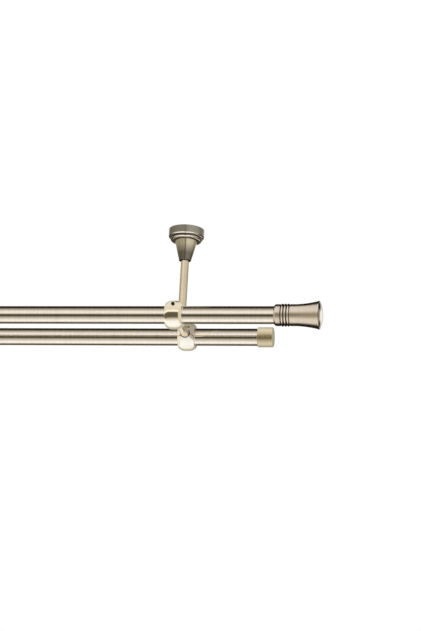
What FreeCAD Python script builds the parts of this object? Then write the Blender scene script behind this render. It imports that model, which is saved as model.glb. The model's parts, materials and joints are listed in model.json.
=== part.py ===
import FreeCAD, Part

import math
import os

# Double curtain pole: two tubes side by side, hung under a ceiling by a pair of T brackets.
# X runs along the poles, -Y faces the room, +Z is up and the ceiling is the plane Z = 0.
# The origin lies on the ceiling, midway between the brackets. All sizes are in millimetres.

Vector = FreeCAD.Vector
X = Vector(1, 0, 0)
Y = Vector(0, 1, 0)
Z = Vector(0, 0, 1)
LEFT = -1
RIGHT = 1
FRONT = -1
REAR = 1

# Poles: the setback and the inset are measured from an end of the front pole
POLE_D = 25.0
POLE_WALL = 1.0
FRONT_POLE_LENGTH = 1200.0
REAR_POLE_SETBACK = 38.0
POLE_SPACING = 105.0
POLE_DROP = 145.0
BRACKET_INSET = 158.0

# Clearances, each measured on a radius except the last
SLIP_FIT = 0.2
SCREW_FIT = 0.1
ROD_FIT = 0.1
CEILING_GAP = 0.3

# Ceiling plate
PLATE_D = 46.4
PLATE_THICKNESS = 3.0
CEILING_HOLE_D = 5.2
CEILING_HOLE_SPACING = 28.0

# Cup cover
CUP_D = 51.0
CUP_DEPTH = 12.5
CUP_EDGE = 2.0
CUP_WALL = 1.5
STEP_D = 45.0
STEP_DEPTH = 5.0
STEP_EDGE = 1.5

# Cone sleeve
CONE_TOP_D = 32.0
CONE_MOUTH_D = 17.0
CONE_LENGTH = 29.5
CONE_WALL = 1.0
CONE_HUB = 9.0

# Drop rod and cross arm
ROD_D = 12.0
ARM_D = 12.0
SADDLE_LIFT = 2.5
SOCKET_DEPTH = 1.5

# Clamp ring
RING_WIDTH = 25.0
RING_LAND = 12.0
RING_CROWN_D = 40.4
RING_END_D = 33.6

# Grub screws
SET_SCREW_D = 5.0
SET_SCREW_RISE = 31.0
SET_SCREW_STAND = 0.6
CONE_SCREW_D = 4.0
CONE_SCREW_SINK = 0.6

# Finial
FINIAL_SOCKET = 17.0
FINIAL_MOUTH_D = 27.0
FINIAL_CHAMFER = 2.5
COLLAR_D = 30.4
BEAD_START = 9.9
BEAD_PITCH = 4.1
BEAD_COUNT = 3
BEAD_D = 32.0
BEAD_ROOT_D = 28.8
NECK_D = 30.4
FLARE_START = 31.0
FLARE_SAG = 0.6
RIM_D = 39.6
FINIAL_LENGTH = 63.2
DOME_RISE = 4.4

# End cap
CAP_D = 28.8
CAP_LENGTH = 22.5
CAP_SOCKET = 17.0
CAP_CHAMFER = 1.2

# Places that follow from the sizes above
REAR_POLE_LENGTH = FRONT_POLE_LENGTH - 2 * REAR_POLE_SETBACK
BRACKET_X = FRONT_POLE_LENGTH / 2 - BRACKET_INSET
CUP_BASE = CUP_DEPTH + STEP_DEPTH
POLE_Y = POLE_SPACING / 2
POLE_Z = -POLE_DROP
POLE_BORE_R = POLE_D / 2 + SLIP_FIT
ROD_BORE_R = ROD_D / 2 + ROD_FIT
SOCKET_FLOOR_R = RING_CROWN_D / 2 - SOCKET_DEPTH
ARM_LENGTH = POLE_SPACING - 2 * SOCKET_FLOOR_R


def turned(outline, axis, origin):
    """A solid turned about an axis. Each outline point is (distance along the axis, radius) or
    (distance, radius, bow), where bow is the outward rise of the arc that ends there."""
    side = X if axis.z else Z
    edges = []
    for i, (start, end) in enumerate(zip(outline, outline[1:] + outline[:1])):
        p = origin + axis * start[0] + side * start[1]
        q = origin + axis * end[0] + side * end[1]
        if len(end) > 2:
            along = Vector(end[0] - start[0], end[1] - start[1], 0).normalize()
            rise = (side * along.x - axis * along.y) * end[2]
            edges.append(Part.Arc(p, (p + q) / 2 + rise, q).toShape())
        else:
            edges.append(Part.makeLine(p, q))
    return Part.Face(Part.Wire(edges)).revolve(origin, axis, 360)


def pole(length, side):
    """One tube of the pair, centred between the brackets."""
    start = Vector(-length / 2, side * POLE_Y, POLE_Z)
    outer = Part.makeCylinder(POLE_D / 2, length, start, X)
    return outer.cut(Part.makeCylinder(POLE_D / 2 - POLE_WALL, length, start, X))


def ceiling_plate(x):
    """The disc that is screwed to the ceiling through a hole each side of the drop rod."""
    plate = Part.makeCylinder(PLATE_D / 2, PLATE_THICKNESS, Vector(x, 0, 0), -Z)
    for side in (FRONT, REAR):
        hole = Vector(x, side * CEILING_HOLE_SPACING / 2, 0)
        plate = plate.cut(Part.makeCylinder(CEILING_HOLE_D / 2, PLATE_THICKNESS, hole, -Z))
    return plate


def cup_cover(x):
    """The stepped cup that hides the ceiling plate and slides on the drop rod."""
    cup_r = CUP_D / 2
    step_r = STEP_D / 2
    outside = [
        (-CEILING_GAP, cup_r),
        (CUP_EDGE - CUP_DEPTH, cup_r),
        (-CUP_DEPTH, cup_r - CUP_EDGE),
        (-CUP_DEPTH, step_r),
        (STEP_EDGE - CUP_BASE, step_r),
        (-CUP_BASE, step_r - STEP_EDGE),
        (-CUP_BASE, ROD_BORE_R),
    ]
    inside = [
        (CUP_WALL - CUP_BASE, ROD_BORE_R),
        (CUP_WALL - CUP_BASE, step_r - CUP_WALL),
        (CUP_WALL - CUP_DEPTH, step_r - CUP_WALL),
        (CUP_WALL - CUP_DEPTH, cup_r - CUP_WALL),
        (-CEILING_GAP, cup_r - CUP_WALL),
    ]
    return turned(outside + inside, Z, Vector(x, 0, 0))


def cone_radius(depth):
    """Outer radius of the cone sleeve at a depth below the cup."""
    return (CONE_TOP_D - (CONE_TOP_D - CONE_MOUTH_D) * depth / CONE_LENGTH) / 2


def cone_screw_start(x):
    """Where the cone's grub screw meets the drop rod, at the back, half way down the hub."""
    return Vector(x, ROD_D / 2, -CUP_BASE - CONE_HUB / 2)


def cone_sleeve(x):
    """The cone that slides up the drop rod and holds the cup: a hub above and hollow below."""
    mouth = CONE_LENGTH + CUP_BASE
    hub = CONE_HUB + CUP_BASE
    outline = [
        (-CUP_BASE, ROD_BORE_R),
        (-CUP_BASE, CONE_TOP_D / 2),
        (-mouth, CONE_MOUTH_D / 2),
        (-mouth, CONE_MOUTH_D / 2 - CONE_WALL),
        (-hub, cone_radius(CONE_HUB) - CONE_WALL),
        (-hub, ROD_BORE_R),
    ]
    sleeve = turned(outline, Z, Vector(x, 0, 0))
    tapped_r = CONE_SCREW_D / 2 + SCREW_FIT
    return sleeve.cut(Part.makeCylinder(tapped_r, CONE_TOP_D / 2, cone_screw_start(x), Y))


def cone_screw(x):
    """The grub screw that grips the drop rod, sunk in the back of the cone."""
    length = cone_radius(CONE_HUB / 2) - ROD_D / 2 - CONE_SCREW_SINK
    return Part.makeCylinder(CONE_SCREW_D / 2, length, cone_screw_start(x), Y)


def drop_rod(x):
    """The bar welded to the ceiling plate above and, by a saddle, to the cross arm below."""
    lower = POLE_Z + SADDLE_LIFT
    rod = Part.makeCylinder(ROD_D / 2, -PLATE_THICKNESS - lower, Vector(x, 0, lower))
    return rod.cut(cross_arm(x))


def cross_arm(x):
    """The bar under the drop rod, with a ring on each end."""
    return Part.makeCylinder(ARM_D / 2, ARM_LENGTH, Vector(x, -ARM_LENGTH / 2, POLE_Z), Y)


def set_screw_way(side):
    """The way that a ring's set screw points, up and away from the arm."""
    rise = math.radians(SET_SCREW_RISE)
    return Vector(0, side * math.cos(rise), math.sin(rise))


def clamp_ring(x, side):
    """The barrel shaped ring that a pole passes through, with a socket for the arm."""
    half = RING_WIDTH / 2
    outline = [
        (-half, POLE_BORE_R),
        (-half, RING_END_D / 2),
        (-RING_LAND / 2, RING_CROWN_D / 2),
        (RING_LAND / 2, RING_CROWN_D / 2),
        (half, RING_END_D / 2),
        (half, POLE_BORE_R),
    ]
    centre = Vector(x, side * POLE_Y, POLE_Z)
    ring = turned(outline, X, centre)
    inward = Y * -side
    floor = centre + inward * SOCKET_FLOOR_R
    ring = ring.cut(Part.makeCylinder(ARM_D / 2 + ROD_FIT, RING_CROWN_D, floor, inward))
    tapped_r = SET_SCREW_D / 2 + SCREW_FIT
    return ring.cut(Part.makeCylinder(tapped_r, RING_CROWN_D, centre, set_screw_way(side)))


def set_screw(x, side):
    """The screw through a ring that grips the pole."""
    way = set_screw_way(side)
    start = Vector(x, side * POLE_Y, POLE_Z) + way * (POLE_D / 2)
    length = RING_CROWN_D / 2 + SET_SCREW_STAND - POLE_D / 2
    return Part.makeCylinder(SET_SCREW_D / 2, length, start, way)


def finial(end):
    """The turned finial of the front pole: collar, beads, neck, flare and domed end."""
    beads = []
    for i in range(BEAD_COUNT):
        root = BEAD_START + i * BEAD_PITCH
        beads += [(root, BEAD_ROOT_D / 2), (root + BEAD_PITCH / 2, BEAD_D / 2)]
    neck_start = BEAD_START + BEAD_COUNT * BEAD_PITCH
    chord = math.hypot(RIM_D / 2, DOME_RISE)
    dome_r = chord**2 / (2 * DOME_RISE)
    dome_bow = dome_r - math.sqrt(dome_r**2 - chord**2 / 4)
    outline = [
        (0, POLE_BORE_R),
        (0, FINIAL_MOUTH_D / 2),
        (FINIAL_CHAMFER, COLLAR_D / 2),
        (BEAD_START - (COLLAR_D - BEAD_ROOT_D) / 2, COLLAR_D / 2),
        *beads,
        (neck_start, BEAD_ROOT_D / 2),
        (neck_start + (NECK_D - BEAD_ROOT_D) / 2, NECK_D / 2),
        (FLARE_START, NECK_D / 2),
        (FINIAL_LENGTH, RIM_D / 2, -FLARE_SAG),
        (FINIAL_LENGTH + DOME_RISE, 0, dome_bow),
        (FINIAL_SOCKET, 0),
        (FINIAL_SOCKET, POLE_BORE_R),
    ]
    mouth = Vector(end * (FRONT_POLE_LENGTH / 2 - FINIAL_SOCKET), -POLE_Y, POLE_Z)
    return turned(outline, X * end, mouth)


def end_cap(end):
    """The plain cap that is pushed over an end of the rear pole."""
    outline = [
        (0, POLE_BORE_R),
        (0, CAP_D / 2 - CAP_CHAMFER),
        (CAP_CHAMFER, CAP_D / 2),
        (CAP_LENGTH, CAP_D / 2),
        (CAP_LENGTH, 0),
        (CAP_SOCKET, 0),
        (CAP_SOCKET, POLE_BORE_R),
    ]
    mouth = Vector(end * (REAR_POLE_LENGTH / 2 - CAP_SOCKET), POLE_Y, POLE_Z)
    return turned(outline, X * end, mouth)


def nodes():
    """Every node's name with its solids. Wide turned pieces come as a pair in one node."""
    hands = (("left", LEFT), ("right", RIGHT))
    places = [hand * BRACKET_X for name, hand in hands]
    found = {
        "front_pole": [pole(FRONT_POLE_LENGTH, FRONT)],
        "rear_pole": [pole(REAR_POLE_LENGTH, REAR)],
        "ceiling_plates": [ceiling_plate(x) for x in places],
        "cup_covers": [cup_cover(x) for x in places],
        "cone_sleeves": [cone_sleeve(x) for x in places],
        "front_rings": [clamp_ring(x, FRONT) for x in places],
        "rear_rings": [clamp_ring(x, REAR) for x in places],
        "finials": [finial(LEFT), finial(RIGHT)],
        "end_caps": [end_cap(LEFT), end_cap(RIGHT)],
    }
    for name, hand in hands:
        x = hand * BRACKET_X
        found[f"{name}_drop_rod"] = [drop_rod(x)]
        found[f"{name}_cross_arm"] = [cross_arm(x)]
        found[f"{name}_cone_screw"] = [cone_screw(x)]
        found[f"{name}_front_set_screw"] = [set_screw(x, FRONT)]
        found[f"{name}_rear_set_screw"] = [set_screw(x, REAR)]
    return found


def main():
    os.makedirs("parts", exist_ok=True)
    for name, solids in nodes().items():
        shape = solids[0] if len(solids) == 1 else Part.makeCompound(solids)
        if not shape.isValid():
            raise ValueError(f"{name} is not a valid solid")
        shape.exportStep(f"parts/{name}.step")


main()
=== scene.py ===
import json
import math

import bmesh
import bpy
from mathutils import Matrix, Vector

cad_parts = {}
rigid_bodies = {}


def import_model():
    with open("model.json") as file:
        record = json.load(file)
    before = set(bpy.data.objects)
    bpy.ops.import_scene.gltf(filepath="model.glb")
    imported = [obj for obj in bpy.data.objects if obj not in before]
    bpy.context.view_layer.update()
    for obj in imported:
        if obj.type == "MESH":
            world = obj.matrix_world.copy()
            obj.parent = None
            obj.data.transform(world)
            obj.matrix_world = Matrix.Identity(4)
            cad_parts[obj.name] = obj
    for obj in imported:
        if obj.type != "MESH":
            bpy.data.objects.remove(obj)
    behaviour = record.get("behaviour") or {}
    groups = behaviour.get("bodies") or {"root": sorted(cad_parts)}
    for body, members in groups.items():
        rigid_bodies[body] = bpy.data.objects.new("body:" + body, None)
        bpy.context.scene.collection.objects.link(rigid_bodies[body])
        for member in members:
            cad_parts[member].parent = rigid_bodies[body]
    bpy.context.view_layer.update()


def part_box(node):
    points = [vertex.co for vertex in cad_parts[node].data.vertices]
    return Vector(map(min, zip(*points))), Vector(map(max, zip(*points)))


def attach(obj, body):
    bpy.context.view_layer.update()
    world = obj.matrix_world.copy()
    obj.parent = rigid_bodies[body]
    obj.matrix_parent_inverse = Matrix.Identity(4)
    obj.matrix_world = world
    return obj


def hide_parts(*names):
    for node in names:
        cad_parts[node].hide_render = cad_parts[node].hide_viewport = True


bl_info = {
    "name": "Double Curtain Pole",
    "version": (1, 0, 0),
    "blender": (4, 5, 0),
    "location": "3D View > Sidebar > Curtain Pole",
    "description": "Dresses a pair of curtain poles on ceiling brackets in antique brass",
    "category": "Object",
}

# X runs along the poles, -Y faces the room and +Z is up. The ceiling is the plane Z = 0.
# Outlines are in millimetres, and each point is (distance along the axis, radius) or
# (distance, radius, rounding), where rounding is how far a corner is cut back. POLE_BORE and
# ROD_BORE are the radii of the bores for the poles and for the rods.

MM = 0.001
AXIS_X = Vector((1, 0, 0))
AXIS_Y = Vector((0, 1, 0))
AXIS_Z = Vector((0, 0, 1))

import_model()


def middle(node):
    """Centre of a CAD node's box."""
    low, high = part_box(node)
    return (low + high) / 2


FRONT = middle("front_pole")
REAR = middle("rear_pole")
BRACKET_X = middle("right_cross_arm").x
FRONT_LENGTH = (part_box("front_pole")[1].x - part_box("front_pole")[0].x) / MM
REAR_LENGTH = (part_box("rear_pole")[1].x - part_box("rear_pole")[0].x) / MM
CUP_BASE = -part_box("cup_covers")[0].z / MM
CONE_MOUTH = -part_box("cone_sleeves")[0].z / MM
POLE_BORE = 12.7
ROD_BORE = 6.1


def millimetres(name, about, default):
    """A size that a user can change."""
    return bpy.props.FloatProperty(name=name, description=f"{about}, in mm", default=default)


def tint(name, about, default):
    """A colour that a user can change."""
    return bpy.props.FloatVectorProperty(
        name=name, description=about, subtype="COLOR", default=default
    )


class PoleSizes(bpy.types.PropertyGroup):
    diameter: millimetres("Pole diameter", "Outside diameter of each tube", 25.0)
    wall: millimetres("Tube wall", "Thickness of the tube", 1.0)
    steps: bpy.props.IntProperty(
        name="Turning steps", description="Facets round every turned piece", default=128
    )


class BracketSizes(bpy.types.PropertyGroup):
    plate: millimetres("Plate diameter", "Diameter of a ceiling plate", 46.4)
    plate_depth: millimetres("Plate thickness", "Thickness of a ceiling plate", 3.0)
    hole: millimetres("Screw hole", "Diameter of the holes in a ceiling plate", 5.2)
    hole_spacing: millimetres("Hole spacing", "Distance between the holes of a plate", 28.0)
    rod: millimetres("Drop rod", "Diameter of a drop rod", 11.6)
    arm: millimetres("Cross arm", "Diameter of a cross arm", 12.0)
    seat: millimetres("Arm seat", "Depth of an arm's seat in a ring", 1.5)
    cone_screw: millimetres("Cone screw", "Diameter of a cone's grub screw", 4.0)


class CoverSizes(bpy.types.PropertyGroup):
    cup: millimetres("Cup diameter", "Outside diameter of a cup", 51.0)
    step: millimetres("Step diameter", "Diameter of the step under a cup", 45.0)
    step_depth: millimetres("Step depth", "Height of the step under a cup", 4.4)
    cup_edge: millimetres("Cup edge", "Rounding of the cup's lower edge", 2.8)
    step_edge: millimetres("Step edge", "Rounding of the step's lower edge", 2.6)
    cone_top: millimetres("Cone top", "Diameter of a cone at the cup", 32.0)
    cone_mouth: millimetres("Cone mouth", "Diameter of a cone at its lower end", 17.0)


class RingSizes(bpy.types.PropertyGroup):
    width: millimetres("Ring width", "Length of a clamp ring along its pole", 24.4)
    crown: millimetres("Crown diameter", "Widest diameter of a clamp ring", 40.4)
    end: millimetres("End diameter", "Diameter at each end of a clamp ring", 32.8)
    fullness: bpy.props.FloatProperty(
        name="Fullness", description="How square the barrel is, as a power", default=3.2
    )
    screw: millimetres("Set screw diameter", "Diameter of the set screw", 5.0)
    stand: millimetres("Set screw stand", "How far the set screw stands out", 1.8)
    rise: bpy.props.FloatProperty(
        name="Set screw rise",
        description="Angle of the set screw above the horizontal",
        default=math.radians(33),
        subtype="ANGLE",
    )


class FinialSizes(bpy.types.PropertyGroup):
    socket: millimetres("Socket depth", "How far the pole enters the finial", 17.0)
    neck: millimetres("Neck diameter", "Diameter of the collar and the neck", 30.4)
    rim: millimetres("Rim diameter", "Diameter of the flared rim", 39.6)
    rim_front: millimetres("Rim front", "Distance of the rim's front from the mouth", 63.3)
    dome: millimetres("Dome", "How far the end is domed", 4.3)
    flare_start: millimetres("Flare start", "Distance of the flare from the mouth", 31.0)
    flare_sag: millimetres("Flare hollow", "How far the flare is hollowed", 0.7)
    beads: bpy.props.IntProperty(
        name="Beads", description="Number of turned beads", default=3
    )
    bead: millimetres("Bead diameter", "Diameter over the beads", 32.0)
    root: millimetres("Groove diameter", "Diameter between the beads", 28.4)
    bead_start: millimetres("Bead start", "Distance of the first bead from the mouth", 9.5)
    bead_pitch: millimetres("Bead pitch", "Distance from bead to bead", 4.1)


class CapSizes(bpy.types.PropertyGroup):
    diameter: millimetres("Cap diameter", "Outside diameter of an end cap", 28.8)
    length: millimetres("Cap length", "Length of an end cap", 22.1)
    socket: millimetres("Socket depth", "How far the pole enters the cap", 17.0)
    dome: millimetres("Dome", "How far the end of the cap is domed", 1.0)


class FinishColours(bpy.types.PropertyGroup):
    pole: tint("Poles", "Brushed plating of the tubes", (0.93, 0.84, 0.73))
    finial: tint("Finials", "Turned finials", (0.84, 0.73, 0.61))
    ring: tint("Rings", "Polished clamp rings", (0.97, 0.885, 0.70))
    gold: tint("End caps", "Golden plating of the end caps", (0.78, 0.68, 0.47))
    cone: tint("Cones", "Upper half of the cones", (0.60, 0.53, 0.37))
    fade: tint("Cone middles", "Where the gold of a cone fades", (0.40, 0.345, 0.25))
    foot: tint("Cone feet", "Brown lower half of the cones", (0.185, 0.158, 0.12))
    cover: tint("Cup walls", "Antiqued walls of the cups", (0.31, 0.287, 0.228))
    # edge is a painted highlight: the bright tone of the rounded lower edges of the cups and
    # steps, and of the finials' highlight faces.
    edge: tint("Cup edges", "Painted highlight on the rounded edges of the cups", (0.92, 0.84, 0.72))
    rod: tint("Rods", "Drop rods and cross arms", (0.82, 0.70, 0.52))
    # patina is the brown of the antique finish in patches, and also the colour of the brown
    # painted shade on the finials.
    patina: tint("Patina", "Brown of the antique finish, also painted shade on the finials", (0.26, 0.22, 0.16))
    # The recess colour is painted shade, put on faces in grooves, bores and undersides.
    painted_recess_shade: tint("Grooves", "Painted shade in grooves, bores and underneath", (0.10, 0.08, 0.055))


GROUPS = (
    PoleSizes, BracketSizes, CoverSizes, RingSizes, FinialSizes, CapSizes, FinishColours,
)


class CurtainPoleSettings(bpy.types.PropertyGroup):
    pole: bpy.props.PointerProperty(type=PoleSizes)
    bracket: bpy.props.PointerProperty(type=BracketSizes)
    cover: bpy.props.PointerProperty(type=CoverSizes)
    ring: bpy.props.PointerProperty(type=RingSizes)
    finial: bpy.props.PointerProperty(type=FinialSizes)
    cap: bpy.props.PointerProperty(type=CapSizes)
    finish: bpy.props.PointerProperty(type=FinishColours)


def sizes():
    """All the settings, by group."""
    return bpy.context.scene.curtain_pole


# Shapes

# The materials of a piece's faces by their place in its list. The first is the plain one. The
# others are painted light: dark painted shade in grooves, bores and undersides, a painted
# highlight, and a brown painted shade.
DARK_PAINTED_SHADE = 1
PAINTED_HIGHLIGHT = 2
BROWN_PAINTED_SHADE = 3


def round_corners(mesh, corners):
    """Rounds the corners of an outline. corners holds (vertex, rounding in mm)."""
    for vertex, rounding in corners:
        bmesh.ops.bevel(
            mesh, geom=[vertex], offset=rounding * MM, offset_type="OFFSET", segments=6,
            profile=0.5, affect="VERTICES", material=-1,
        )


def turn(mesh, outline, axis, origin, steps):
    """Spins a closed outline about an axis through origin, in its own bmesh."""
    side = AXIS_X if axis.z else AXIS_Z
    rim = [mesh.verts.new(origin + axis * p[0] * MM + side * p[1] * MM) for p in outline]
    for start, end in zip(rim, rim[1:] + rim[:1]):
        mesh.edges.new((start, end))
    round_corners(mesh, [(v, p[2]) for v, p in zip(rim, outline) if len(p) > 2])
    bmesh.ops.spin(
        mesh, geom=mesh.verts[:] + mesh.edges[:], cent=origin, axis=axis,
        angle=2 * math.pi, steps=steps, use_merge=True,
    )
    bmesh.ops.remove_doubles(mesh, verts=mesh.verts, dist=1e-7)
    bmesh.ops.recalc_face_normals(mesh, faces=mesh.faces)


def turned_mesh(outline, axis, origin):
    """A bmesh of one turned solid."""
    mesh = bmesh.new()
    turn(mesh, outline, axis, origin, sizes().pole.steps)
    return mesh


def arc(start, end, bow, count):
    """Points after start of an arc that ends at end and rises by bow to the left of the way."""
    along = Vector((end[0] - start[0], end[1] - start[1]))
    chord = along.length
    radius = (chord**2 / 4 + bow**2) / (2 * abs(bow))
    half = math.asin(chord / 2 / radius)
    out = Vector((-along.y, along.x)).normalized() * math.copysign(1, bow)
    centre = (Vector(start[:2]) + Vector(end[:2])) / 2 - out * (radius - abs(bow))
    along.normalize()
    points = []
    for i in range(1, count + 1):
        angle = half * (2 * i / count - 1)
        point = centre + along * radius * math.sin(angle) + out * radius * math.cos(angle)
        points.append((point.x, point.y))
    return points


def paint_faces(mesh, axis, origin, index, test):
    """Gives a material to the faces whose distance and radius in mm pass a test."""
    for face in mesh.faces:
        way = face.calc_center_median() - origin
        distance = way.dot(axis)
        radius = (way - axis * distance).length
        if test(distance / MM, radius / MM):
            face.material_index = index


def join(meshes):
    """One bmesh from several."""
    joined = bmesh.new()
    for part in meshes:
        data = bpy.data.meshes.new("part")
        part.to_mesh(data)
        part.free()
        joined.from_mesh(data)
        bpy.data.meshes.remove(data)
    return joined


def piece(name, mesh, materials, nodes):
    """Makes the bmesh a finished piece that stands for CAD nodes."""
    data = bpy.data.meshes.new(name)
    mesh.to_mesh(data)
    mesh.free()
    data.shade_smooth()
    data.set_sharp_from_angle(angle=math.radians(40))
    for material in materials:
        data.materials.append(finish(material))
    made = bpy.data.objects.new(name, data)
    bpy.context.scene.collection.objects.link(made)
    smooth = made.modifiers.new("even shading", "WEIGHTED_NORMAL")
    smooth.weight = 100
    smooth.keep_sharp = True
    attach(made, "root")
    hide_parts(*nodes)
    return made


def drill(mesh, cutters):
    """Cuts round holes out of a bmesh. cutters holds the bmeshes of the drills."""
    body = bpy.data.meshes.new("body")
    mesh.to_mesh(body)
    mesh.free()
    holes = join(cutters)
    drills = bpy.data.meshes.new("drills")
    holes.to_mesh(drills)
    holes.free()
    block = bpy.data.objects.new("block", body)
    tool = bpy.data.objects.new("tool", drills)
    for item in (block, tool):
        bpy.context.scene.collection.objects.link(item)
    cut = block.modifiers.new("cut", "BOOLEAN")
    cut.operation = "DIFFERENCE"
    cut.solver = "EXACT"
    cut.object = tool
    graph = bpy.context.evaluated_depsgraph_get()
    result = bmesh.new()
    result.from_object(block, graph)
    for item in (block, tool):
        data = item.data
        bpy.data.objects.remove(item)
        bpy.data.meshes.remove(data)
    return result


def turn_way(outline, way, origin, steps):
    """A bmesh of a solid turned about any way, turned about Z first and then tilted."""
    mesh = bmesh.new()
    turn(mesh, outline, AXIS_Z, Vector(), steps)
    tilt = AXIS_Z.rotation_difference(way).to_matrix().to_4x4()
    bmesh.ops.transform(mesh, matrix=Matrix.Translation(origin) @ tilt, verts=mesh.verts)
    return mesh


def rod(radius, start, way, length, rounding=0.3):
    """A solid bar from start along way, in metres except for its radius and rounding in mm."""
    long = length / MM
    outline = [(0, 0), (0, radius, rounding), (long, radius, rounding), (long, 0)]
    return turn_way(outline, way, start, sizes().pole.steps // 2)


# Node trees


def feed(tree, socket, value):
    """Links a socket to an output, or sets it to a plain value."""
    if isinstance(value, bpy.types.NodeSocket):
        tree.links.new(value, socket)
    else:
        socket.default_value = value


def calc(tree, operation, *values):
    """A math node over outputs and numbers."""
    node = tree.nodes.new("ShaderNodeMath")
    node.operation = operation
    for socket, value in zip(node.inputs, values):
        feed(tree, socket, value)
    return node.outputs["Value"]


def vector_calc(tree, operation, *values):
    """A vector math node over outputs and vectors."""
    node = tree.nodes.new("ShaderNodeVectorMath")
    node.operation = operation
    for socket, value in zip(node.inputs, values):
        feed(tree, socket, value)
    return node.outputs["Vector"]


def rescale(tree, value, low, high, to_low=0.0, to_high=1.0):
    """A smooth step of a value from one range to another."""
    node = tree.nodes.new("ShaderNodeMapRange")
    node.interpolation_type = "SMOOTHSTEP"
    feed(tree, node.inputs["Value"], value)
    node.inputs["From Min"].default_value = low
    node.inputs["From Max"].default_value = high
    node.inputs["To Min"].default_value = to_low
    node.inputs["To Max"].default_value = to_high
    return node.outputs["Result"]


def blend(tree, factor, first, second):
    """A mix of two colours."""
    node = tree.nodes.new("ShaderNodeMix")
    node.data_type = "RGBA"
    feed(tree, node.inputs["Factor"], factor)
    feed(tree, node.inputs["A"], first)
    feed(tree, node.inputs["B"], second)
    return node.outputs["Result"]


def blend_shaders(tree, factor, first, second):
    """A mix of two shaders."""
    node = tree.nodes.new("ShaderNodeMixShader")
    for socket, value in zip(node.inputs, (factor, first, second)):
        feed(tree, socket, value)
    return node.outputs["Shader"]


def noise(tree, place, scale, detail=2.0, roughness=0.5):
    """A noise texture over a place."""
    node = tree.nodes.new("ShaderNodeTexNoise")
    tree.links.new(place, node.inputs["Vector"])
    node.inputs["Scale"].default_value = scale
    node.inputs["Detail"].default_value = detail
    node.inputs["Roughness"].default_value = roughness
    return node.outputs["Fac"]


def ramp(tree, value, stops):
    """A colour ramp. stops holds (position, colour)."""
    node = tree.nodes.new("ShaderNodeValToRGB")
    elements = node.color_ramp.elements
    for i, (position, colour) in enumerate(stops):
        stop = elements[i] if i < 2 else elements.new(position)
        stop.position = position
        stop.color = (*colour, 1)
    feed(tree, node.inputs["Fac"], value)
    return node.outputs["Color"]


def new_group(name, inputs, outputs):
    """An empty node group, its nodes for input and output. inputs holds (name, type, default)."""
    group = bpy.data.node_groups.new(name, "ShaderNodeTree")
    for title, kind, value in inputs:
        socket = group.interface.new_socket(title, in_out="INPUT", socket_type=kind)
        socket.default_value = value
    for title, kind in outputs:
        group.interface.new_socket(title, in_out="OUTPUT", socket_type=kind)
    return group, group.nodes.new("NodeGroupInput"), group.nodes.new("NodeGroupOutput")


# Materials


def antique_group():
    """Turning marks across an axis, with patina in broad patches."""
    group, start, end = new_group(
        "Antique plating",
        [
            ("Colour", "NodeSocketColor", (0.9, 0.8, 0.6, 1)),
            ("Patina colour", "NodeSocketColor", (0.3, 0.25, 0.15, 1)),
            ("Patina", "NodeSocketFloat", 0.2),
            ("Mark scale", "NodeSocketVector", (1, 1, 1)),
            ("Mark depth", "NodeSocketFloat", 0.2),
            ("Roughness", "NodeSocketFloat", 0.25),
        ],
        [
            ("Colour", "NodeSocketColor"),
            ("Roughness", "NodeSocketFloat"),
            ("Height", "NodeSocketFloat"),
        ],
    )
    place = group.nodes.new("ShaderNodeTexCoord").outputs["Object"]
    scaled = vector_calc(group, "MULTIPLY", place, start.outputs["Mark scale"])
    marks = noise(group, scaled, 1.0, detail=3.0, roughness=0.6)
    cover = rescale(group, noise(group, place, 60.0, detail=3.0), 0.40, 0.70)
    amount = calc(group, "MULTIPLY", cover, start.outputs["Patina"])
    toned = blend(group, amount, start.outputs["Colour"], start.outputs["Patina colour"])
    streak = rescale(group, marks, 0.25, 0.75, -0.5, 0.5)
    shade = calc(group, "MULTIPLY_ADD", streak, start.outputs["Mark depth"], 1.0)
    feed(group, end.inputs["Colour"], vector_calc(group, "MULTIPLY", toned, shade))
    rough = calc(group, "MULTIPLY_ADD", streak, 0.06, start.outputs["Roughness"])
    feed(group, end.inputs["Roughness"], rough)
    feed(group, end.inputs["Height"], marks)
    return group


def metal(name, group, colour, patina_colour, patina, mark_scale, mark_depth, roughness, bump):
    """A metal with turning marks from the shared group."""
    made = bpy.data.materials.new(name)
    made.use_nodes = True
    tree = made.node_tree
    shader = tree.nodes["Principled BSDF"]
    shader.inputs["Metallic"].default_value = 1.0
    marks = tree.nodes.new("ShaderNodeGroup")
    marks.node_tree = group
    marks.inputs["Colour"].default_value = (*colour, 1)
    marks.inputs["Patina colour"].default_value = (*patina_colour, 1)
    marks.inputs["Patina"].default_value = patina
    marks.inputs["Mark scale"].default_value = mark_scale
    marks.inputs["Mark depth"].default_value = mark_depth
    marks.inputs["Roughness"].default_value = roughness
    feed(tree, shader.inputs["Base Color"], marks.outputs["Colour"])
    feed(tree, shader.inputs["Roughness"], marks.outputs["Roughness"])
    relief = tree.nodes.new("ShaderNodeBump")
    relief.inputs["Strength"].default_value = bump
    relief.inputs["Distance"].default_value = 0.0001
    feed(tree, relief.inputs["Height"], marks.outputs["Height"])
    feed(tree, shader.inputs["Normal"], relief.outputs["Normal"])
    return made


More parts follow.
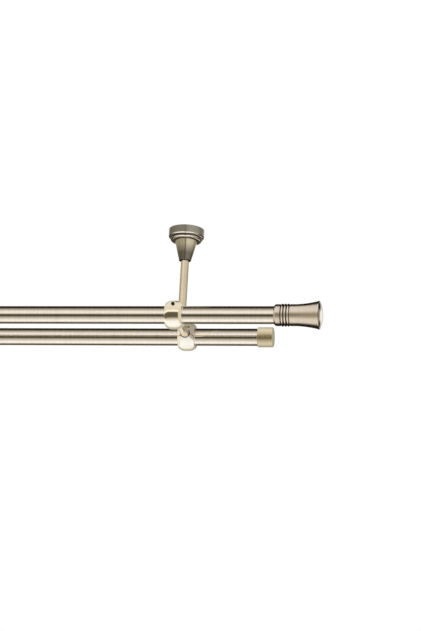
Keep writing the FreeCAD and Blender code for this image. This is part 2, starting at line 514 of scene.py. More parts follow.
def cover_with_painted_highlights(name, group, tone):
    """Cover brass with painted highlights on the rounded edges, dark on the wall and gold to brown
    on the cone.
    """
    made = metal(name, group, tone.cover, tone.patina, 0.02, (60, 60, 900), 0.03, 0.14, 0.0)
    tree = made.node_tree
    place = tree.nodes.new("ShaderNodeTexCoord").outputs["Object"]
    parts = tree.nodes.new("ShaderNodeSeparateXYZ")
    feed(tree, parts.inputs["Vector"], place)
    low, high = -0.048, 0.0
    level = calc(tree, "DIVIDE", calc(tree, "SUBTRACT", parts.outputs["Z"], low), high - low)
    bright, wall, gold, brown = tone.edge, tone.cover, tone.cone, tone.foot
    stops = []
    # The bright bands on the rounded lower edges of the cup and the step are painted highlights.
    for depth, colour in (
        (-47, brown), (-37, brown), (-30, tone.fade), (-24, gold), (-17.6, gold), (-17.5, bright),
        (-15.9, bright), (-15.3, wall), (-13.2, wall), (-13.1, bright), (-11.4, bright),
        (-10.9, wall), (0, wall),
    ):
        stops.append(((depth * MM - low) / (high - low), tuple(colour)))
    marks = next(node for node in tree.nodes if node.type == "GROUP")
    feed(tree, marks.inputs["Colour"], ramp(tree, level, stops))
    return made


def finish(name):
    """A material of the object by name. The first call makes them all."""
    if name not in bpy.data.materials:
        make_finishes()
    return bpy.data.materials[name]


def make_finishes():
    """Makes the metals. After the colours come the amount of patina, the scale and depth of the
    marks, the roughness and the relief."""
    group = antique_group()
    tone = sizes().finish
    brown = tuple(tone.patina)
    across, even = (700, 25, 25), (90, 90, 90)
    zinc, black = (0.62, 0.62, 0.62), (0.04, 0.04, 0.04)
    metal("Pole brass", group, tone.pole, brown, 0.04, across, 0.10, 0.15, 0.03)
    metal("Finial brass", group, tone.finial, brown, 0.10, across, 0.10, 0.2, 0.02)
    # The next metal is a painted highlight for faces of the finials.
    metal("Painted highlight brass", group, tone.edge, brown, 0.0, across, 0.04, 0.12, 0.02)
    metal("Ring brass", group, tone.ring, brown, 0.05, across, 0.05, 0.11, 0.02)
    metal("Cap brass", group, tone.gold, brown, 0.06, across, 0.06, 0.2, 0.0)
    cover_with_painted_highlights("Cover brass", group, tone)
    metal("Rod brass", group, tone.rod, brown, 0.08, (25, 25, 700), 0.06, 0.2, 0.02)
    # The next two metals are painted shade: brown on the finials, and dark in grooves, bores and
    # undersides.
    metal("Brown brass", group, tone.patina, brown, 0.0, across, 0.10, 0.3, 0.0)
    metal("Painted shade brass", group, tone.painted_recess_shade, brown, 0.0, even, 0.2, 0.4, 0.1)
    metal("Zinc", group, zinc, (0.4, 0.4, 0.4), 0.3, even, 0.1, 0.35, 0.1)
    metal("Black steel", group, black, black, 0.0, even, 0.1, 0.3, 0.1)


# Operators


class CURTAIN_OT_poles(bpy.types.Operator):
    """Builds the front and the rear tube"""

    bl_idname = "curtain.poles"
    bl_label = "Poles"

    def execute(self, context):
        size = sizes().pole
        outer = size.diameter / 2
        inner = outer - size.wall
        for node, centre, length in (
            ("front_pole", FRONT, FRONT_LENGTH),
            ("rear_pole", REAR, REAR_LENGTH),
        ):
            half = length / 2
            outline = [
                (-half, inner, 0.2), (-half, outer, 0.2), (half, outer, 0.2), (half, inner, 0.2),
            ]
            mesh = turned_mesh(outline, AXIS_X, centre)
            piece(f"{node}_tube", mesh, ["Pole brass"], [node])
        return {"FINISHED"}


class CURTAIN_OT_ceiling_fixings(bpy.types.Operator):
    """Builds the ceiling plates, the stepped cups and the cones under them"""

    bl_idname = "curtain.ceiling_fixings"
    bl_label = "Ceiling fixings"

    def execute(self, context):
        centres = [Vector((x, 0, 0)) for x in (-BRACKET_X, BRACKET_X)]
        plates = join([self.plate(centre) for centre in centres])
        cups = join([self.cup(centre) for centre in centres])
        cones = join([self.cone(centre) for centre in centres])
        brass = ["Cover brass", "Painted shade brass"]
        piece("plates", plates, ["Zinc"], ["ceiling_plates"])
        piece("cups", cups, brass, ["cup_covers"])
        piece("cones", cones, brass, ["cone_sleeves"])
        return {"FINISHED"}

    def plate(self, centre):
        size = sizes().bracket
        edge, depth = size.plate / 2, size.plate_depth
        outline = [(0, 0), (0, edge, 0.5), (-depth, edge, 0.5), (-depth, 0)]
        low = centre - AXIS_Z * 0.01
        reach = AXIS_Y * size.hole_spacing / 2 * MM
        holes = [rod(size.hole / 2, low + reach * side, AXIS_Z, 0.02) for side in (-1, 1)]
        return drill(turned_mesh(outline, AXIS_Z, centre), holes)

    def cup(self, centre):
        size = sizes().cover
        wall, step = size.cup / 2, size.step / 2
        base, top, sheet = -CUP_BASE, -0.3, 1.5
        lip = base + size.step_depth
        groove, neck = lip - 1.3, step - 0.7
        outline = [
            (top, wall, 0.3), (lip, wall, size.cup_edge), (lip, neck, 0.2), (groove, neck),
            (groove, step, 0.4), (base, step, size.step_edge), (base, ROD_BORE, 0.3),
            (base + sheet, ROD_BORE), (base + sheet, step - 2.1, 1.2),
            (lip + sheet, step - 2.1, 0.4), (lip + sheet, wall - sheet, 1.2),
            (top, wall - sheet, 0.3),
        ]
        mesh = turned_mesh(outline, AXIS_Z, centre)
        # Painted shade: the underside of the step and the groove under the cup's lip get the dark
        # material.
        paint_faces(mesh, AXIS_Z, centre, DARK_PAINTED_SHADE, lambda level, radius: (
            level < base + 0.02
            or groove - 0.05 < level < lip + 0.02 and radius < wall - size.cup_edge + 0.1
        ))
        return mesh

    def cone(self, centre):
        size = sizes().cover
        top, mouth = size.cone_top / 2, size.cone_mouth / 2
        base, low, hub = -CUP_BASE, -CONE_MOUTH, 9
        outline = [
            (base, ROD_BORE, 0.3), (base, top, 0.6), (low, mouth, 0.45), (low, mouth - 1, 0.45),
            (base - hub, top - 3.2), (base - hub, ROD_BORE),
        ]
        mesh = turned_mesh(outline, AXIS_Z, centre)
        start = centre + Vector((0, 0.006, (base - hub / 2) * MM))
        hole = rod(sizes().bracket.cone_screw / 2 + 0.1, start, AXIS_Y, 0.02)
        mesh = drill(mesh, [hole])
        slope = (top - mouth) / (base - low)
        # Painted shade: the inside of the cone gets the dark material.
        paint_faces(mesh, AXIS_Z, centre, DARK_PAINTED_SHADE, lambda level, radius: (
            radius < mouth - 0.6 + (level - low) * slope
        ))
        return mesh


class CURTAIN_OT_arms(bpy.types.Operator):
    """Builds the drop rods and the cross arms"""

    bl_idname = "curtain.arms"
    bl_label = "Rods and arms"

    def execute(self, context):
        size = sizes().bracket
        for hand in ("left", "right"):
            node = f"{hand}_drop_rod"
            low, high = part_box(node)
            foot = Vector(((low.x + high.x) / 2, 0, FRONT.z + 0.002))
            mesh = rod(size.rod / 2, foot, AXIS_Z, high.z - foot.z)
            piece(f"{node}_bar", mesh, ["Rod brass"], [node])
            node = f"{hand}_cross_arm"
            low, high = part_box(node)
            start = Vector(((low.x + high.x) / 2, low.y, (low.z + high.z) / 2))
            mesh = rod(size.arm / 2, start, AXIS_Y, high.y - low.y)
            piece(f"{node}_bar", mesh, ["Rod brass"], [node])
        return {"FINISHED"}


class CURTAIN_OT_rings(bpy.types.Operator):
    """Builds the barrel shaped rings round both poles"""

    bl_idname = "curtain.rings"
    bl_label = "Rings"

    def execute(self, context):
        for name, pole, side in (("front", FRONT, -1), ("rear", REAR, 1)):
            barrels = [
                self.barrel(Vector((x, pole.y, pole.z)), side) for x in (-BRACKET_X, BRACKET_X)
            ]
            brass = ["Ring brass", "Painted shade brass"]
            piece(f"{name}_barrels", join(barrels), brass, [f"{name}_rings"])
        return {"FINISHED"}

    def barrel(self, centre, side):
        size = sizes().ring
        half = size.width / 2
        end, crown = size.end / 2, size.crown / 2
        steps = [i / 16 for i in range(-15, 16)]
        outline = [
            (-half, POLE_BORE, 0.3),
            (-half, end, 0.5),
            *((half * t, crown - (crown - end) * abs(t) ** size.fullness) for t in steps),
            (half, end, 0.5),
            (half, POLE_BORE, 0.3),
        ]
        mesh = turned_mesh(outline, AXIS_X, centre)
        inward = AXIS_Y * -side
        depth, mouth = sizes().bracket.seat, ROD_BORE + 0.6
        floor = centre + inward * (crown - depth) * MM
        seat = [
            (0, 0), (0, ROD_BORE), (depth - 0.6, ROD_BORE), (depth, mouth), (20, mouth), (20, 0),
        ]
        socket = turn_way(seat, inward, floor, 64)
        tapped = rod(size.screw / 2 + 0.1, centre, screw_way(side), 0.03)
        mesh = drill(mesh, [socket, tapped])
        # Painted shade: the bore gets the dark material, and the seat round the arm gets it as a
        # painted shadow.
        paint_faces(mesh, AXIS_X, centre, DARK_PAINTED_SHADE, lambda along, radius: radius < POLE_BORE + 0.1)
        paint_faces(
            mesh, inward, centre, DARK_PAINTED_SHADE, lambda along, radius: along > 15 and radius < mouth - 0.05
        )
        return mesh


def screw_way(side):
    """The way that a ring's set screw points."""
    rise = sizes().ring.rise
    return Vector((0, side * math.cos(rise), math.sin(rise)))


class CURTAIN_OT_screws(bpy.types.Operator):
    """Builds the grub screws with their hexagon sockets"""

    bl_idname = "curtain.screws"
    bl_label = "Grub screws"

    def execute(self, context):
        size = sizes().ring
        pole = sizes().pole.diameter / 2
        for hand, x in (("left", -BRACKET_X), ("right", BRACKET_X)):
            for name, centre, side in (("front", FRONT, -1), ("rear", REAR, 1)):
                way = screw_way(side)
                start = Vector((x, centre.y, centre.z)) + way * pole * MM
                length = size.crown / 2 + size.stand - pole
                mesh = self.grub(size.screw / 2, start, way, length, 2.5)
                node = f"{hand}_{name}_set_screw"
                piece(f"{node}_socket", mesh, ["Black steel"], [node])
            node = f"{hand}_cone_screw"
            low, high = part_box(node)
            start = Vector((x, low.y, (low.z + high.z) / 2))
            radius = sizes().bracket.cone_screw / 2
            mesh = self.grub(radius, start, AXIS_Y, (high.y - low.y) / MM, 2.0)
            piece(f"{node}_socket", mesh, ["Black steel"], [node])
        return {"FINISHED"}

    def grub(self, radius, start, way, length, key):
        outline = [(0, 0), (0, radius, 0.3), (length, radius, 0.4), (length, 0)]
        mesh = turn_way(outline, way, start, 48)
        hexagon = bmesh.new()
        bmesh.ops.create_cone(
            hexagon, cap_ends=True, segments=6, radius1=key / math.sqrt(3) * MM,
            radius2=key / math.sqrt(3) * MM, depth=4 * MM,
        )
        tilt = AXIS_Z.rotation_difference(way).to_matrix().to_4x4()
        place = Matrix.Translation(start + way * length * MM) @ tilt
        bmesh.ops.transform(hexagon, matrix=place, verts=hexagon.verts)
        return drill(mesh, [hexagon])


class CURTAIN_OT_finials(bpy.types.Operator):
    """Builds the turned finials of the front pole"""

    bl_idname = "curtain.finials"
    bl_label = "Finials"

    def execute(self, context):
        made = join([self.finial(end) for end in (-1, 1)])
        brass = ["Finial brass", "Painted shade brass", "Painted highlight brass", "Brown brass"]
        piece("turned_finials", made, brass, ["finials"])
        return {"FINISHED"}

    def finial(self, end):
        size = sizes().finial
        neck, rim, root = size.neck / 2, size.rim / 2, size.root / 2
        beads, first, pitch = [], size.bead_start, size.bead_pitch
        for i in range(size.beads):
            low = (first + i * pitch + 0.75, root)
            high = (first + (i + 1) * pitch - 0.75, root)
            beads += [low, *arc(low, high, size.bead / 2 - root, 12)]
        foot = first + size.beads * pitch
        front = size.rim_front
        lip, bend, inner = front - 2.7, front - 0.8, rim - 0.8
        outline = [
            (0, POLE_BORE, 0.2), (0, neck - 1.7, 0.3), (2.2, neck, 0.9),
            (first - 0.6, neck, 0.3), (first - 0.5, root),
            *beads,
            (foot + 0.1, root), (foot + 0.4, neck, 0.4),
            (size.flare_start, neck),
            *arc((size.flare_start, neck), (lip, rim - 0.5), -size.flare_sag, 28),
            (lip + 0.6, rim, 0.4), (bend, rim), (front, rim, 0.5), (front, inner, 0.2),
            *arc((front, inner), (front + size.dome, 0), 1.1, 24),
            (size.socket, 0), (size.socket, POLE_BORE, 0.2),
        ]
        mouth = Vector((end * (FRONT_LENGTH / 2 - size.socket) * MM, FRONT.y, FRONT.z))
        way = AXIS_X * end
        mesh = turned_mesh(outline, way, mouth)
        # Painted shade in the grooves between the beads and inside the socket.
        paint_faces(mesh, way, mouth, DARK_PAINTED_SHADE, lambda along, radius: (
            first - 0.6 < along < foot - 0.4 and radius < root + 0.6
            or along < size.socket + 0.1 and radius < POLE_BORE + 0.1
        ))
        # Brown painted shade in the groove after the last bead and on the rounded rim round the
        # dome.
        paint_faces(mesh, way, mouth, BROWN_PAINTED_SHADE, lambda along, radius: (
            foot - 0.4 < along < foot + 0.3 and radius < root + 0.5
            or along > bend and radius > inner - 0.05
        ))
        # Painted highlights on the crowns of the beads, on a band at the rim and on the middle of
        # the dome.
        paint_faces(mesh, way, mouth, PAINTED_HIGHLIGHT, lambda along, radius: (
            first < along < foot and radius > root + 0.6
            or lip + 0.2 < along < bend or along > bend and radius < inner - 0.05
        ))
        return mesh


class CURTAIN_OT_end_caps(bpy.types.Operator):
    """Builds the plain caps of the rear pole"""

    bl_idname = "curtain.end_caps"
    bl_label = "End caps"

    def execute(self, context):
        made = join([self.cap(end) for end in (-1, 1)])
        piece("plain_caps", made, ["Cap brass"], ["end_caps"])
        return {"FINISHED"}

    def cap(self, end):
        size = sizes().cap
        wall = size.diameter / 2
        outline = [
            (0, POLE_BORE, 0.2), (0, wall, 1.0), (size.length, wall, 1.9),
            *arc((size.length, wall), (size.length + size.dome, 0), 0.3, 12),
            (size.socket, 0), (size.socket, POLE_BORE, 0.2),
        ]
        mouth = Vector((end * (REAR_LENGTH / 2 - size.socket) * MM, REAR.y, REAR.z))
        return turned_mesh(outline, AXIS_X * end, mouth)


# Stage

# The camera's place is in metres and its angles are in degrees.
CAMERA_PLACE = (1.02162, -2.96948, -1.07025)
CAMERA_YAW = 10.272
CAMERA_PITCH = 17.323
CAMERA_ROLL = 3.151
LENS = 127.18
FLOOR_Z = -2.3

# Each list is the light of a tent by angle in degrees, with its brightness and its warmth. The
# poles, finials, rings and caps have theirs by the angle about X, which is 0 at the front
# horizon, 90 overhead and -90 underneath. The cups, cones and rods have theirs by the angle
# about Z, which is 0 in front and 90 to the right. FOOT_LIGHT is for what faces down.
POLE_LIGHT = (
    (-180, 0.3, 0), (-172, 0.10, 0), (-126, 0.10, 0), (-112, 0.97, 0),
    (-92, 1.08, 0), (-78, 0.92, 0), (-64, 0.70, 0), (-50, 0.50, 0), (-38, 0.27, 0),
    (-29, 0.06, 0), (-12, 0.06, 0), (-5, 0.35, 0), (3, 0.80, 0), (16, 0.98, 0),
    (29, 0.92, 0), (44, 0.70, 0), (60, 0.40, 0), (76, 0.20, 0), (87, 0.02, 0),
    (140, 0.02, 0), (150, 0.85, 0), (174, 0.85, 0), (180, 0.3, 0),
)
FINIAL_LIGHT = (
    (-180, 0.06, 0), (-160, 0.03, 0), (-124, 0.02, 0), (-110, 0.45, 0), (-96, 0.86, 0),
    (-62, 0.86, 0.3), (-46, 0.68, 0.6), (-34, 0.42, 0.6), (-24, 0.28, 0.5), (-8, 0.25, 0.5),
    (2, 0.36, 0.3), (10, 0.60, 0), (20, 0.80, 0), (32, 0.90, 0), (72, 0.82, 0),
    (84, 0.66, 0), (95, 0.10, 0), (101, 0.01, 0), (150, 0.01, 0), (157, 0.95, -0.5),
    (171, 0.95, -0.5), (175, 0.08, 0), (180, 0.06, 0),
)
RING_LIGHT = (
    (-180, 0.6, 0), (-165, 0.6, 0), (-152, 0.42, 0), (-136, 0.68, -0.3), (-122, 0.98, -0.8),
    (-100, 1.04, -1.2), (-72, 1.0, -1.2), (-62, 0.92, -0.9), (-50, 0.74, -0.2), (-42, 0.5, 0.3),
    (-36, 0.3, 0.5), (-30, 0.125, 0.9), (5, 0.125, 0.9), (9, 0.6, 0.5), (12, 1.06, 0.4),
    (24, 1.06, 0.4), (29, 0.78, 0.6), (60, 0.84, 0.5), (90, 0.86, 0.2), (120, 0.7, 0),
    (138, 0.5, 0), (158, 0.62, 0.6), (180, 0.6, 0.4),
)
REAR_RING_LIGHT = (
    (-180, 0.6, 0), (-165, 0.6, 0), (-152, 0.42, 0), (-136, 0.68, -0.3), (-122, 0.95, -0.8),
    (-100, 1.0, -1.2), (-72, 1.0, -1.4), (-50, 0.98, -1.4), (-30, 0.90, -1.4),
    (-16, 0.74, -1.2), (-4, 0.45, -0.6), (10, 0.34, -0.4), (40, 0.40, -0.4), (90, 0.42, -0.4),
    (120, 0.32, 0), (150, 0.3, 0), (180, 0.5, 0),
)
CAP_LIGHT = (
    (-180, 0.45, 0), (-165, 0.45, 0), (-150, 0.45, 0), (-138, 0.58, 0), (-103, 0.90, 0),
    (-75, 0.74, 0), (-63, 0.66, 0), (-51, 0.50, 0), (-40, 0.30, 0.4), (-28, 0.22, 0.6),
    (-8, 0.15, 0.6), (5, 0.36, 0.5), (17, 0.54, 0.3), (28, 0.70, 0.3), (41, 0.78, 0.2),
    (68, 0.96, 0.2), (100, 0.84, 0), (125, 0.55, 0), (145, 0.44, -0.8), (180, 0.46, -0.8),
)
WALL_LIGHT = (
    (-180, 0.8, 0), (-150, 0.7, 0), (-135, 0.45, 0), (-105, 0.42, 0), (-88, 0.50, 0),
    (-61, 0.60, 0), (-21, 0.65, 0), (-6, 0.65, 0), (1, 0.57, 0), (6, 0.56, 0), (14, 0.84, 0),
    (36, 0.98, 0), (56, 0.98, 0), (76, 0.86, 0), (88, 0.84, 0), (104, 0.58, 0),
    (130, 0.50, 0), (152, 0.7, 0), (180, 0.8, 0),
)
CONE_LIGHT = (
    (-180, 0.8, 0), (-150, 0.7, 0), (-135, 0.64, 0), (-105, 0.54, 0), (-88, 0.48, 0.5),
    (-61, 0.52, 0.5), (-33, 0.62, 0.4), (-26, 0.44, 0.4), (-19, 0.64, 0.4), (-6, 0.68, 0.2),
    (0, 0.36, 0), (5, 0.20, 0), (9, 0.24, 0), (16, 0.88, -0.5), (38, 1.0, -0.5),
    (60, 0.90, -0.5), (83, 0.86, -0.4), (97, 0.78, -0.2), (112, 0.60, 0), (135, 0.45, 0),
    (152, 0.7, 0), (180, 0.8, 0),
)
FOOT_LIGHT = (
    (-180, 0.12, 0), (-152, 0.05, 0), (-106, 0.05, 0), (-96, 0.16, 0), (-88, 0.50, 0),
    (-80, 0.90, 0), (-65, 1.15, 0), (-15, 1.15, 0), (-4, 1.0, 0), (2, 0.78, 0), (9, 0.78, 0),
    (15, 1.0, 0), (28, 1.15, 0), (55, 1.05, 0), (75, 0.76, 0), (90, 0.48, 0), (102, 0.2, 0),
    (110, 0.06, 0), (152, 0.05, 0), (180, 0.12, 0),
)
ROD_LIGHT = (
    (-180, 1.05, -0.5), (-155, 1.0, -0.5), (-138, 0.6, 0), (-105, 0.42, 0.3), (-70, 0.52, 0.2),
    (-40, 0.86, 0), (-20, 0.94, 0), (8, 0.80, 0), (18, 0.70, 0.3), (45, 0.80, 0),
    (90, 0.62, 0), (120, 0.50, 0), (150, 0.22, -0.4), (162, 0.2, -0.4), (168, 0.3, -0.4),
    (174, 0.95, -0.5), (180, 1.05, -0.5),
)


def looked_at(tree):
    """1 where the camera, or metal or glass, sees a background, and 0 where it gives light."""
    ray = tree.nodes.new("ShaderNodeLightPath").outputs
    seen = calc(tree, "MAXIMUM", ray["Is Camera Ray"], ray["Is Glossy Ray"])
    return calc(tree, "MAXIMUM", seen, ray["Is Transmission Ray"])


def tent_stops(light):
    """Ramp stops for a tent. Dark parts are browner than bright ones, as warm ones are."""
    stops = []
    for degrees, level, warmth in light:
        green = level**1.05 * (1 - 0.04 * warmth)
        blue = level**1.2 * (1 - 0.13 * warmth)
        stops.append(((degrees + 180) / 360, (level, green, blue)))
    return stops


def tent_group():
    """Where a spot on a round tent lies. About X bent is the angle about X with strips that
    widen towards the sides, as strips on a flat wall in front would."""
    group, start, end = new_group(
        "Place on the tent",
        [],
        [
            ("About X", "NodeSocketFloat"),
            ("About X bent", "NodeSocketFloat"),
            ("About Z", "NodeSocketFloat"),
            ("Up", "NodeSocketFloat"),
            ("Along X", "NodeSocketFloat"),
            ("Behind", "NodeSocketFloat"),
        ],
    )
    place = group.nodes.new("ShaderNodeTexCoord").outputs["Object"]
    way = vector_calc(group, "NORMALIZE", vector_calc(group, "SUBTRACT", place, (0, 0, FRONT.z)))
    parts = group.nodes.new("ShaderNodeSeparateXYZ")
    feed(group, parts.inputs["Vector"], way)
    x, y, z = parts.outputs
    ahead = calc(group, "MULTIPLY", y, -1.0)
    nearer = calc(group, "MULTIPLY_ADD", calc(group, "MULTIPLY", x, x), 0.4, ahead)
    for title, angle in (
        ("About X", calc(group, "ARCTAN2", z, ahead)),
        ("About X bent", calc(group, "ARCTAN2", z, nearer)),
        ("About Z", calc(group, "ARCTAN2", x, ahead)),
    ):
        part = calc(group, "MULTIPLY_ADD", angle, 0.5 / math.pi, 0.5)
        feed(group, end.inputs[title], part)
    feed(group, end.inputs["Up"], z)
    feed(group, end.inputs["Along X"], x)
    feed(group, end.inputs["Behind"], y)
    return group


class CURTAIN_OT_stage(bpy.types.Operator):
    """Builds the floor, the light tents, the lamps, the world and the camera"""

    bl_idname = "curtain.stage"
    bl_label = "Stage"

    def execute(self, context):
        self.floor()
        self.tents()
        self.lamps()
        self.world()
        self.camera()
        context.scene.view_settings.view_transform = "Standard"
        return {"FINISHED"}

    def add(self, name, mesh, material):
        data = bpy.data.meshes.new(name)
        mesh.to_mesh(data)
        mesh.free()
        data.materials.append(material)
        made = bpy.data.objects.new(name, data)
        bpy.context.scene.collection.objects.link(made)
        return made

    def floor(self):
        mesh = bmesh.new()
        bmesh.ops.create_grid(
            mesh, x_segments=1, y_segments=1, size=30, matrix=Matrix.Translation((0, 0, FLOOR_Z))
        )
        floor = self.add("floor", mesh, self.floor_paint())
        floor.visible_glossy = False

    def floor_paint(self):
        """Nearly white to the camera and to metal with a faint shadow, and clear from below."""
        paint = bpy.data.materials.new("Floor")
        paint.use_nodes = True
        tree = paint.node_tree
        tree.nodes.clear()
        out = tree.nodes.new("ShaderNodeOutputMaterial")
        matt = tree.nodes.new("ShaderNodeBsdfDiffuse")
        matt.inputs["Color"].default_value = (0.9, 0.9, 0.9, 1)
        white = tree.nodes.new("ShaderNodeEmission")
        white.inputs["Strength"].default_value = 1.02
        clear = tree.nodes.new("ShaderNodeBsdfTransparent")
        side = tree.nodes.new("ShaderNodeNewGeometry")
        whiteness = calc(tree, "MULTIPLY", looked_at(tree), 0.85)
        pale = blend_shaders(tree, whiteness, matt.outputs["BSDF"], white.outputs["Emission"])
        both = blend_shaders(tree, side.outputs["Backfacing"], pale, clear.outputs["BSDF"])
        feed(tree, out.inputs["Surface"], both)
        return paint

    def tents(self):
        """Round tents, each seen by the metal of some pieces alone, the darkest metal's inside."""
        place = tent_group()
        others = ("front_barrels", "plates", "_socket")
        self.tent(18, ("cups", "cones"), self.cup_cloth(place))
        self.tent(19, ("finials",), self.finial_cloth(place))
        self.tent(20, ("caps",), self.strip_cloth("Cap tent", place, CAP_LIGHT))
        self.tent(21, ("_bar",), self.rod_cloth(place))
        self.tent(22, ("rear_barrels",), self.rear_ring_cloth(place))
        self.tent(23, ("_tube",), self.strip_cloth("Pole tent", place, POLE_LIGHT))
        self.tent(24, others, self.ring_cloth(place))

    def tent(self, radius, endings, cloth):
        """Hangs a cloth round the object for the pieces whose names have these endings."""
        mesh = bmesh.new()
        bmesh.ops.create_uvsphere(
            mesh, u_segments=96, v_segments=48, radius=radius,
            matrix=Matrix.Translation((0, 0, FRONT.z)),
        )
        tent = self.add(cloth.name, mesh, cloth)
        tent.visible_camera = False
        tent.visible_diffuse = False
        tent.visible_shadow = False
        tent.visible_transmission = False
        lit = bpy.data.collections.new(f"{cloth.name} pieces")
        for item in bpy.context.scene.objects:
            if item.name.endswith(endings):
                lit.objects.link(item)
        tent.light_linking.receiver_collection = lit

    def cloth(self, name, place, colour, outer=False):
        """A cloth that glows in a colour, which a function gives from the place on the tent.
        Light from the outer tents shines through the inner ones."""
        made = bpy.data.materials.new(name)
        made.use_nodes = True
        made.cycles.emission_sampling = "NONE"
        tree = made.node_tree
        tree.nodes.clear()
        spot = tree.nodes.new("ShaderNodeGroup")
        spot.node_tree = place
        out = tree.nodes.new("ShaderNodeOutputMaterial")
        glow = tree.nodes.new("ShaderNodeEmission")
        feed(tree, glow.inputs["Color"], colour(tree, spot.outputs))
        if outer:
            feed(tree, out.inputs["Surface"], glow.outputs["Emission"])
            return made
        clear = tree.nodes.new("ShaderNodeBsdfTransparent")
        both = tree.nodes.new("ShaderNodeAddShader")
        feed(tree, both.inputs[0], glow.outputs["Emission"])
        feed(tree, both.inputs[1], clear.outputs["BSDF"])
        feed(tree, out.inputs["Surface"], both.outputs["Shader"])
        return made

    def strips(self, tree, spot, light):
        """Long strips of light along X that fade into a soft tone at both ends of the tent."""
        bands = ramp(tree, spot["About X"], tent_stops(light))
        reach = calc(tree, "ABSOLUTE", spot["Along X"])
        return blend(tree, rescale(tree, reach, 0.8, 0.97), bands, (0.6, 0.56, 0.5, 1))

    def strip_cloth(self, name, place, light):
        return self.cloth(name, place, lambda tree, spot: self.strips(tree, spot, light))

    def finial_cloth(self, place):
        """Strips, dimmer behind on the left, brown behind on the far right and softer for the
        flare, which faces the left."""
        def colour(tree, spot):
            bands = self.strips(tree, spot, FINIAL_LIGHT)
            behind = rescale(tree, spot["Behind"], 0.3, 0.45)
            side = rescale(tree, calc(tree, "ABSOLUTE", spot["Along X"]), 0.7, 0.78)
            browned = blend(
                tree, calc(tree, "MULTIPLY", side, behind), bands, (0.26, 0.215, 0.17, 1)
            )
            left = rescale(tree, spot["Along X"], 0.4, 0.15, 0.0, 0.5)
            dimmed = blend(tree, calc(tree, "MULTIPLY", left, behind), browned, (0, 0, 0, 1))
            flare = rescale(tree, spot["Along X"], -0.12, -0.34, 0.0, 0.11)
            ahead = rescale(tree, spot["Behind"], -0.7, -0.85)
            return blend(
                tree, calc(tree, "MULTIPLY", flare, ahead), dimmed, (1.2, 1.02, 0.82, 1)
            )

        return self.cloth("Finial tent", place, colour)

    def ring_cloth(self, place):
        """Bent strips with a plain pale side on the right."""
        def colour(tree, spot):
            bands = ramp(tree, spot["About X bent"], tent_stops(RING_LIGHT))
            right = rescale(tree, spot["Along X"], 0.5, 0.75)
            return blend(tree, right, bands, (0.74, 0.71, 0.62, 1))

        return self.cloth("Ring tent", place, colour, outer=True)

    def rear_ring_cloth(self, place):
        """Bent strips with a pale side on the left and a grey one at the upper right."""
        def colour(tree, spot):
            bands = ramp(tree, spot["About X bent"], tent_stops(REAR_RING_LIGHT))
            left = rescale(tree, spot["Along X"], -0.55, -0.8)
            pale = blend(tree, left, bands, (0.88, 0.86, 0.82, 1))
            right = rescale(tree, spot["Along X"], 0.3, 0.55)
            upper = rescale(tree, spot["Up"], -0.55, -0.2)
            return blend(tree, calc(tree, "MULTIPLY", right, upper), pale, (0.4, 0.39, 0.42, 1))

        return self.cloth("Rear ring tent", place, colour)

    def rod_cloth(self, place):
        def colour(tree, spot):
            return ramp(tree, spot["About Z"], tent_stops(ROD_LIGHT))

        return self.cloth("Rod tent", place, colour)

    def cup_cloth(self, place):
        """Upright strips, one set each for the cup walls, the cones and what faces down. Low
        down and straight behind, where the backs of the cones look, the cones' strips stay."""
        def colour(tree, spot):
            wall, cone, foot = [
                ramp(tree, spot["About Z"], tent_stops(light))
                for light in (WALL_LIGHT, CONE_LIGHT, FOOT_LIGHT)
            ]
            around = blend(tree, rescale(tree, spot["Up"], 0.16, 0.06), wall, cone)
            ahead = calc(tree, "MINIMUM", spot["Behind"], 0.0)
            behind = calc(tree, "MAXIMUM", spot["Behind"], 0.0)
            level = calc(tree, "MULTIPLY_ADD", ahead, -0.14, spot["Up"])
            level = calc(tree, "MULTIPLY_ADD", behind, -0.30, level)
            below = rescale(tree, level, -0.09, -0.14)
            beside = rescale(tree, calc(tree, "ABSOLUTE", spot["Along X"]), 0.28, 0.40)
            inside = calc(tree, "MAXIMUM", beside, rescale(tree, spot["Up"], -0.46, -0.38))
            inside = calc(tree, "MAXIMUM", inside, rescale(tree, spot["Behind"], 0.5, 0.3))
            return blend(tree, calc(tree, "MULTIPLY", below, inside), around, foot)

        return self.cloth("Cup tent", place, colour)

    def lamps(self):
        for name, place, size, power in (
            ("front_panel", (0.5, -2.6, 1.2), 2.0, 40),
            ("fill_panel", (-2.5, -1.0, 0.6), 2.0, 20),
            ("back_panel", (1.5, 2.6, 1.0), 2.0, 20),
        ):
            light = bpy.data.lights.new(name, "AREA")
            light.size = size
            light.energy = power
            lamp = bpy.data.objects.new(name, light)
            lamp.location = place
            aim = Vector((0, 0, FRONT.z)) - Vector(place)
            lamp.rotation_euler = aim.to_track_quat("-Z", "Y").to_euler()
            lamp.visible_glossy = False
            bpy.context.scene.collection.objects.link(lamp)

    def world(self):
        """White to the camera and to metal, and a little dimmer as light."""
        world = bpy.data.worlds.new("Studio")
        bpy.context.scene.world = world
        world.use_nodes = True
        tree = world.node_tree
        sky = tree.nodes["Background"]
        sky.inputs["Color"].default_value = (1, 1, 1, 1)
        strength = rescale(tree, looked_at(tree), 0.0, 1.0, 0.7, 1.0)
        feed(tree, sky.inputs["Strength"], strength)

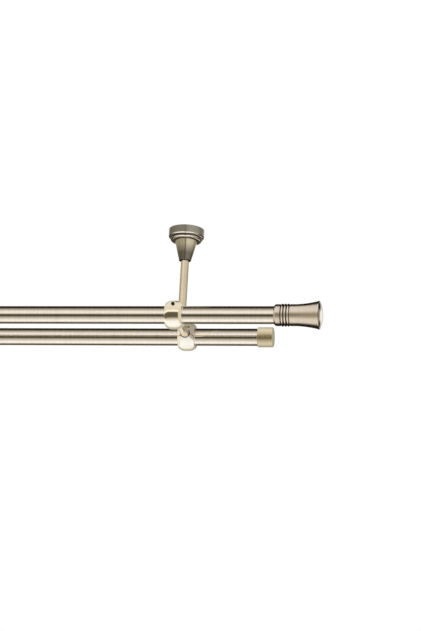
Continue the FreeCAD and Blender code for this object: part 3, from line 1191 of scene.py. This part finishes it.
    def camera(self):
        lens = bpy.data.cameras.new("camera")
        lens.lens = LENS
        lens.clip_end = 100
        view = bpy.data.objects.new("camera", lens)
        yaw = Matrix.Rotation(math.radians(CAMERA_YAW), 4, "Z")
        pitch = Matrix.Rotation(math.radians(90 + CAMERA_PITCH), 4, "X")
        roll = Matrix.Rotation(math.radians(CAMERA_ROLL), 4, "Z")
        view.matrix_world = Matrix.Translation(CAMERA_PLACE) @ yaw @ pitch @ roll
        bpy.context.scene.collection.objects.link(view)
        bpy.context.scene.camera = view


class CURTAIN_PT_panel(bpy.types.Panel):
    """Lists the settings and the build steps"""

    bl_idname = "CURTAIN_PT_panel"
    bl_label = "Curtain Pole"
    bl_space_type = "VIEW_3D"
    bl_region_type = "UI"
    bl_category = "Curtain Pole"

    def draw(self, context):
        settings = context.scene.curtain_pole
        for group in (
            settings.pole, settings.bracket, settings.cover, settings.ring, settings.finial,
            settings.cap, settings.finish,
        ):
            box = self.layout.box()
            for name in group.bl_rna.properties.keys():
                if name not in ("rna_type", "name"):
                    box.prop(group, name)
        for step in STEPS:
            self.layout.operator(step.bl_idname)


STEPS = (
    CURTAIN_OT_poles,
    CURTAIN_OT_ceiling_fixings,
    CURTAIN_OT_arms,
    CURTAIN_OT_rings,
    CURTAIN_OT_screws,
    CURTAIN_OT_finials,
    CURTAIN_OT_end_caps,
    CURTAIN_OT_stage,
)
CLASSES = (*GROUPS, CurtainPoleSettings, *STEPS, CURTAIN_PT_panel)


def register():
    for item in CLASSES:
        bpy.utils.register_class(item)
    bpy.types.Scene.curtain_pole = bpy.props.PointerProperty(type=CurtainPoleSettings)


def unregister():
    del bpy.types.Scene.curtain_pole
    for item in reversed(CLASSES):
        bpy.utils.unregister_class(item)


def main():
    register()
    bpy.ops.curtain.poles()
    bpy.ops.curtain.ceiling_fixings()
    bpy.ops.curtain.arms()
    bpy.ops.curtain.rings()
    bpy.ops.curtain.screws()
    bpy.ops.curtain.finials()
    bpy.ops.curtain.end_caps()
    bpy.ops.curtain.stage()


if __name__ == "__main__":
    main()
